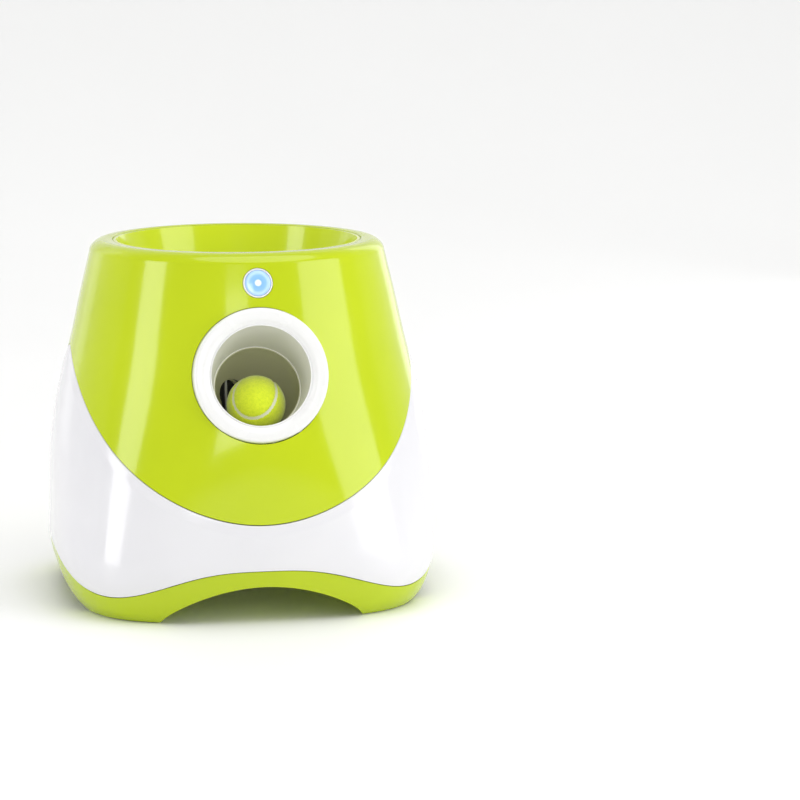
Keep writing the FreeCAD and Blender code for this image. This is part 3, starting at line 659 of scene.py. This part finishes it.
def muzzle_bezel():
    """Broad rounded face, a soft lip at the mouth and the tapered tunnel behind it."""
    face = [(BEZEL_R - 2.6, -BEZEL_DEPTH), (BEZEL_R, -BEZEL_DEPTH)]
    round_middle = (BEZEL_R - BEZEL_ROUND, -BEZEL_ROUND)
    face += arc_profile(round_middle, BEZEL_ROUND, 0, BEZEL_ARC, BEZEL_ARC_STEPS)
    face += [(BEZEL_R - 6.0, 0.25), (MOUTH_R + 6.6, 0.2), (MOUTH_R + 5.6, -0.1), (MOUTH_R + 4.4, -0.9)]
    face += [(MOUTH_R + 2.6, -2.6), (MOUTH_R + 2.0, -2.9), (MOUTH_R + 1.5, -2.6), (MOUTH_R + 1.1, -2.3)]
    face += [(MOUTH_R + 0.8, -2.3), (MOUTH_R + TUNNEL_STEP, -2.6)]
    points, _ = lathe(face, MOUTH, FACE, BEZEL_COLUMNS, False)
    seam = CUP + OUT * CUP_LIP
    for step in range(TUNNEL_ROWS + 1):
        share = step / TUNNEL_ROWS
        origin = (MOUTH - FACE * TUNNEL_BACK).lerp(seam, share)
        axis = leaning(FACE_LEAN + (BARREL_LEAN - FACE_LEAN) * share)
        radius = MOUTH_R + TUNNEL_STEP + (CUP_R + CUP_SEAT - MOUTH_R - TUNNEL_STEP) * share
        ring, _ = lathe([(radius, 0.0)], origin, axis, BEZEL_COLUMNS, False)
        points += ring
    faces = ring_faces(len(face) + TUNNEL_ROWS + 1, BEZEL_COLUMNS, False)
    item = mesh_object("muzzle_bezel", points, faces, BEZEL_WHITE, "housing", BEZEL_SHARP)
    # The tunnel's faces take the white painted grey as painted shade.
    item.data.materials.append(TUNNEL_PAINTED_SHADE)
    tunnel_start = len(face) * BEZEL_COLUMNS
    for polygon in item.data.polygons:
        if min(polygon.vertices) >= tunnel_start:
            polygon.material_index = 1
    thick = item.modifiers.new("wall", "SOLIDIFY")
    thick.thickness = BEZEL_WALL * MM
    thick.offset = -1.0
    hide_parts("muzzle_ring")


def barrel_cup():
    """Part of a sphere behind the tunnel, with the arched port, dark from painted shade behind it, and the
    striker's hole.
    """
    start = math.acos(CUP_LIP / CUP_R)
    profile = []
    for radius, order in ((CUP_R, range(CUP_ROWS + 1)), (CUP_R + CUP_WALL, range(CUP_ROWS, -1, -1))):
        for row in order:
            polar = start + (math.pi - CUP_POLE - start) * row / CUP_ROWS
            profile.append((radius * math.sin(polar), radius * math.cos(polar)))
    points, faces = lathe(profile, CUP, OUT, CUP_COLUMNS)
    # The cup's white is painted grey as painted shade.
    item = mesh_object("cup_shell", points, faces, CUP_PAINTED_SHADE, "housing")
    port = Vector((math.sin(PORT_TURN), math.cos(PORT_TURN), 0.0))
    middle = CUP + port * CUP_R - Vector((0, 0, PORT_DROP))
    bore(item, PORT_R, middle, port, PORT_CUT, HOLE_COLUMNS)
    bore(item, PORT_R, middle - Vector((0, 0, PORT_R * PORT_ARCH)), port, PORT_CUT, HOLE_COLUMNS)
    bore(item, STRIKER_HOLE_R, BALL - OUT * STRIKER_HOLE_BACK, OUT, STRIKER_CUT, HOLE_COLUMNS)
    bore(item, WINDOW_R, CUP + WINDOW * CUP_R, WINDOW, WINDOW_CUT, WINDOW_COLUMNS)
    shade(item)
    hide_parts("barrel_cup")
    # A black cup behind the port: painted shade that stands in for the dark inside of the opening.
    ends = [(RECESS_R, 0.0), (RECESS_R, PORT_DEPTH), (RECESS_POLE, PORT_DEPTH)]
    origin = CUP + port * (CUP_R - RECESS_LAP) - Vector((0, 0, PORT_DROP + RECESS_LOWER))
    points, faces = lathe(ends, origin, port, RECESS_COLUMNS, False)
    shade_cap = mesh_object("port_painted_shade", points, faces, BLACK_PLASTIC_AND_PAINTED_SHADE, "housing")


def tunnel_edge():
    """The thin pale edge where the tunnel ends at the cup."""
    profile = arc_profile((CUP_R - TRIM_IN, 0.0), TRIM_R, 0, TRIM_ARC, TRIM_ARC_STEPS)
    points, faces = lathe(profile, CUP + OUT * (CUP_LIP + TRIM_OUT), OUT, TRIM_COLUMNS)
    item = mesh_object("tunnel_edge", points, faces, BEZEL_WHITE, "housing")


# Button

BUTTON_COLUMNS = 96
LENS_POLE = 0.01


def button_lens():
    """The crowned lens that lights up and moves with the button."""
    profile = [(LENS_POLE, -BUTTON_DEPTH), (BUTTON_R, -BUTTON_DEPTH), (BUTTON_R, 0.3)]
    profile += [(BUTTON_R - 0.15, 0.7), (BUTTON_R - 0.6, 1.0), (BUTTON_R - 2.0, 1.25)]
    profile += [(5.0, 1.6), (2.5, 1.72), (LENS_POLE, 1.75)]
    points, faces = lathe(profile, BUTTON, BUTTON_OUT, BUTTON_COLUMNS, False)
    item = mesh_object("button_lens", points, faces, LENS, "button", BUTTON_SHARP)
    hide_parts("power_button")


def button_ring():
    """The white ring round the lens, fixed in the shell."""
    inner = BUTTON_R + 0.25
    outer = BUTTON_RING
    profile = [(inner, -RING_DEPTH), (outer, -RING_DEPTH), (outer, 0.3), (outer - 0.15, 0.8)]
    profile += [(outer - 0.5, 1.1), (inner + 0.35, 1.1), (inner, 0.8)]
    points, faces = lathe(profile, BUTTON, BUTTON_OUT, BUTTON_COLUMNS)
    item = mesh_object("button_ring", points, faces, BEZEL_WHITE, "housing", BUTTON_SHARP)
    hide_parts("button_bezel")


# Ball

# The seam is turned by these angles about X, Y and Z, in radians.
SEAM_TURN = (-1.069, 0.374, -0.817)
SEAM_WAVE = 0.42
SEAM_POINTS = 360
SEAM_HALF = 1.35 / BALL_R
SEAM_FADE = 0.9 / BALL_R
SEAM_DEEP = 0.45
SEAM_CLEAR = 1.2
FELT_BACK = 0.45

# The felt's clumps: height, and how fine they are.
CLUMPS = ((0.16, 26), (0.10, 70))

FIBRES = 5200
FIBRE_ROOT = 0.5
FIBRE_LOW = 0.15
FIBRE_HIGH = 0.42
FIBRE_LEAN = 0.5
FIBRE_HALF = 0.05


def seam_curve(t):
    """The closed seam of a tennis ball on a unit sphere."""
    three = SEAM_WAVE
    one = 1 - three
    x = one * math.cos(t) + three * math.cos(3 * t)
    y = one * math.sin(t) - three * math.sin(3 * t)
    z = 2 * math.sqrt(three * one) * math.sin(2 * t)
    return Vector((x, y, z)).normalized()


def seam_tree():
    """Points of the turned seam, in a tree that finds the nearest one."""
    about_x, about_y, about_z = (Matrix.Rotation(angle, 3, axis) for angle, axis in zip(SEAM_TURN, "XYZ"))
    turn = about_x @ about_y @ about_z
    tree = KDTree(SEAM_POINTS)
    for index in range(SEAM_POINTS):
        tree.insert(turn @ seam_curve(2 * math.pi * index / SEAM_POINTS), index)
    tree.balance()
    return tree


def felt_ball(seam):
    """The ball: clumped felt with a sunken pale seam."""
    work = bmesh.new()
    bmesh.ops.create_icosphere(work, subdivisions=6, radius=1.0)
    from_seam = []
    for vertex in work.verts:
        direction = vertex.co.normalized()
        away = seam.find(direction)[2]
        clump = sum(high * field.noise(direction * fine) for high, fine in CLUMPS)
        sunk = SEAM_DEEP * (1 - smooth((away - SEAM_HALF) / SEAM_FADE))
        lift = BALL_R - FELT_BACK - sunk + (clump if away > SEAM_HALF else 0.0)
        vertex.co = (BALL + direction * lift) * MM
        from_seam.append(away)
    mesh = bpy.data.meshes.new("ball_felt")
    work.to_mesh(mesh)
    work.free()
    item = add_object("felt_ball", mesh)
    mesh.materials.append(FELT)
    mesh.materials.append(BALL_SEAM)
    for polygon in mesh.polygons:
        polygon.use_smooth = True
        if sum(from_seam[index] for index in polygon.vertices) / 3 < SEAM_HALF:
            polygon.material_index = 1
    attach(item, "ball")
    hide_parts("tennis_ball")


def ball_fuzz(seam):
    """Loose fibres that stand out of the felt, each one narrow triangle."""
    rng = random.Random(7)
    points = []
    faces = []
    for _ in range(FIBRES):
        direction = Vector((rng.gauss(0, 1), rng.gauss(0, 1), rng.gauss(0, 1))).normalized()
        if seam.find(direction)[2] < SEAM_HALF * SEAM_CLEAR:
            continue
        side = direction.orthogonal().normalized()
        side.rotate(Matrix.Rotation(rng.uniform(0, 2 * math.pi), 3, direction))
        root = BALL + direction * (BALL_R - FIBRE_ROOT)
        rise = direction * rng.uniform(FIBRE_LOW, FIBRE_HIGH)
        tip = root + rise + side * rng.uniform(-FIBRE_LEAN, FIBRE_LEAN)
        width = side.cross(direction) * FIBRE_HALF
        start = len(points)
        points += [root - width, root + width, tip]
        faces.append((start, start + 1, start + 2))
    fuzz = mesh_object("ball_fuzz", points, faces, FELT, "ball", NEVER_SHARP)


# CAD nodes


def dress_nodes():
    """Every CAD node gets its finish, also those that a piece replaces."""
    finishes = {
        # hopper_bowl takes the brighter copy of the green, which is painted light.
        "base_tray": GREEN_BAND, "battery_door": GREEN_BAND, "hopper_bowl": BOWL_GREEN_PAINTED_LIGHT,
        # barrel_cup and sensor_window take the cup's white painted grey as painted shade.
        "barrel_cup": CUP_PAINTED_SHADE, "sensor_window": CUP_PAINTED_SHADE, "feed_chute": INNER_WHITE,
        "striker_guide": BLACK_PLASTIC_AND_PAINTED_SHADE, "dc_jack": BLACK_PLASTIC_AND_PAINTED_SHADE, "button_switch": BLACK_PLASTIC_AND_PAINTED_SHADE, "battery_box": INNER_WHITE,
        "sector_gear": NYLON, "motor_pinion": NYLON, "board_spacers": NYLON, "striker_rod": STEEL,
        "striker_spring": STEEL, "gear_motor": STEEL, "side_plate_left": STEEL, "side_plate_right": STEEL,
        "sector_shaft": STEEL, "roller_shaft": STEEL, "plate_spacers": STEEL, "battery_contacts": STEEL,
        "base_screws": STEEL, "support_roller": STEEL, "main_board": BOARD, "button_board": BOARD,
        "rubber_feet": RUBBER, "striker_pad": RUBBER, "tennis_ball": FELT, "battery_cells": CELL,
        # lower_shell takes the white with painted shade.
        "upper_shell": GREEN, "lower_shell": WHITE_PAINTED_SHADE, "muzzle_ring": BEZEL_WHITE,
        "button_bezel": BEZEL_WHITE, "power_button": LENS,
    }
    for node, item in NODES.items():
        item.data.materials.clear()
        item.data.materials.append(finishes[node])
    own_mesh(NODES["striker_spring"])


# Stage, in metres

FLOOR_NEAR = -30.0
FLOOR_FAR = 3.0
FLOOR_HALF = 30.0
WALL_HIGH = 5.0
COVE = 1.5
COVE_STEPS = 12

# Area lights: name, azimuth in degrees, distance, height, width, length and power in watts.
# Azimuth 0 is in front of the muzzle and grows towards +X.
BOXES = [
    ("left_box", -72, 1.6, 0.35, 0.5, 1.4, 9),
    ("right_box", 58, 1.7, 0.45, 1.1, 1.5, 14),
    ("front_fill", -8, 2.2, 0.7, 0.6, 0.6, 4),
    ("back_left", -140, 1.8, 0.7, 0.5, 1.6, 1),
    ("back_right", 140, 1.8, 0.7, 0.5, 1.6, 2),
]
LIGHTS_AIM = Vector((0.0, 0.0, 0.16))
OVERHEAD_FROM = Vector((0.15, -0.2, 1.0))
OVERHEAD_POWER = 1.42
OVERHEAD_SPREAD = math.radians(60)
WORLD_POWER = 0.44

# The camera's place, direction and lens are fitted to the photograph's view.
CAMERA_AT = (-0.33883, -2.56550, 0.58749)
CAMERA_TOWARDS = Vector((0.17995569, 0.96979144, -0.16468305))
CAMERA_LENS = 141.34
CAMERA_SENSOR = 36.0


def aim(item, direction):
    """Turns a light or the camera to look along direction."""
    item.rotation_euler = direction.to_track_quat("-Z", "Y").to_euler()


def stage():
    """A pale floor that curves up into a wall far behind the object."""
    material, tree, shader = new_material("floor")
    tones = [(NOISE_LOW, (0.93, 0.93, 0.925)), (NOISE_HIGH, (0.945, 0.945, 0.94))]
    tree.links.new(ramp(tree, noise(tree, 1.5), tones), shader.inputs["Base Color"])
    shader.inputs["Roughness"].default_value = 0.45
    shader.inputs["Specular IOR Level"].default_value = 0.25
    rows = [(FLOOR_NEAR, 0.0), (FLOOR_FAR - COVE, 0.0)]
    for step in range(1, COVE_STEPS + 1):
        angle = math.pi / 2 * step / COVE_STEPS
        rows.append((FLOOR_FAR - COVE + COVE * math.sin(angle), COVE - COVE * math.cos(angle)))
    rows.append((FLOOR_FAR, WALL_HIGH))
    points = []
    for y, z in rows:
        points += [(-FLOOR_HALF, y, z), (FLOOR_HALF, y, z)]
    faces = [(2 * row, 2 * row + 1, 2 * row + 3, 2 * row + 2) for row in range(len(rows) - 1)]
    mesh = bpy.data.meshes.new("floor")
    mesh.from_pydata(points, [], faces)
    mesh.materials.append(material)
    for polygon in mesh.polygons:
        polygon.use_smooth = True
    item = add_object("floor", mesh)


def soft_box(name, azimuth, distance, height, width, length, power):
    """An area light that looks at the middle of the object."""
    turn = math.radians(azimuth)
    light = bpy.data.lights.new(name, "AREA")
    light.shape = "RECTANGLE"
    light.size = width
    light.size_y = length
    light.energy = power
    item = add_object(name, light)
    item.location = Vector((distance * math.sin(turn), -distance * math.cos(turn), height))
    aim(item, LIGHTS_AIM - item.location)


def lights():
    """Five soft boxes, a broad overhead light and an even white surround."""
    for box in BOXES:
        soft_box(*box)
    sky = bpy.data.lights.new("overhead", "SUN")
    sky.energy = OVERHEAD_POWER
    sky.angle = OVERHEAD_SPREAD
    aim(add_object("overhead", sky), -OVERHEAD_FROM)
    world = bpy.data.worlds.new("studio")
    world.use_nodes = True
    world.node_tree.nodes["Background"].inputs["Color"].default_value = (1, 1, 1, 1)
    world.node_tree.nodes["Background"].inputs["Strength"].default_value = WORLD_POWER
    bpy.context.scene.world = world


def camera():
    lens = bpy.data.cameras.new("camera")
    lens.lens = CAMERA_LENS
    lens.sensor_width = CAMERA_SENSOR
    item = add_object("camera", lens)
    item.location = CAMERA_AT
    aim(item, CAMERA_TOWARDS)
    bpy.context.scene.camera = item


camera()
stage()
lights()
dress_nodes()
white_shell()
green_shell()
muzzle_bezel()
barrel_cup()
tunnel_edge()
button_lens()
button_ring()
seam = seam_tree()
felt_ball(seam)
ball_fuzz(seam)
bpy.context.scene.view_settings.view_transform = "Standard"
